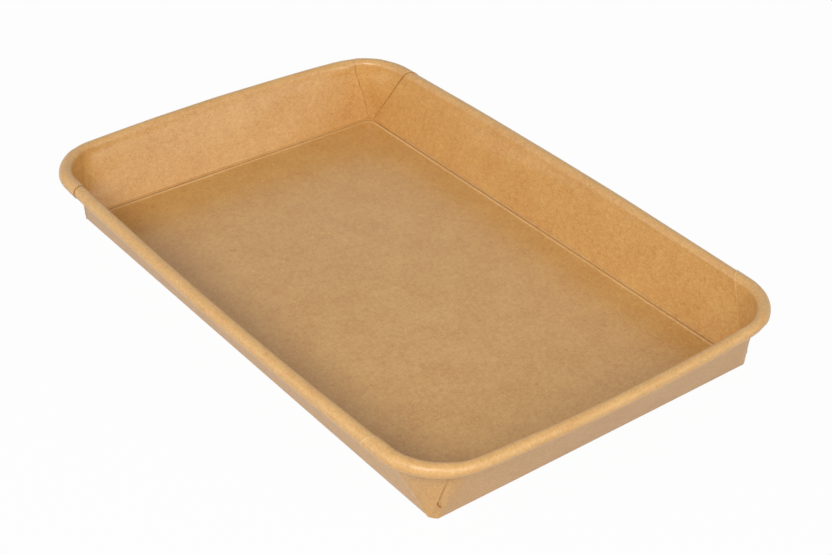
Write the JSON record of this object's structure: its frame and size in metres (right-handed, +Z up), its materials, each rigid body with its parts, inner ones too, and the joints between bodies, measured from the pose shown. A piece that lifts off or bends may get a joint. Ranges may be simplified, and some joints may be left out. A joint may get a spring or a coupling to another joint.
{
  "type": "cardboard tray",
  "caption": "Shallow rectangular kraft board tray with flared walls, folded web corners and a curled rim, for holding food or small goods.",
  "frame": {"origin": "under the middle of the floor, on the surface the tray rests on", "axes": "+X along the long side, +Y along the short side, +Z up out of the open top"},
  "size_m": [0.23, 0.1464, 0.0236],
  "materials": {
    "kraft_board": "smooth satin face inside, matte face outside"
  },
  "bodies": {
    "root": {"tray": "kraft_board"}
  },
  "joints": []
}
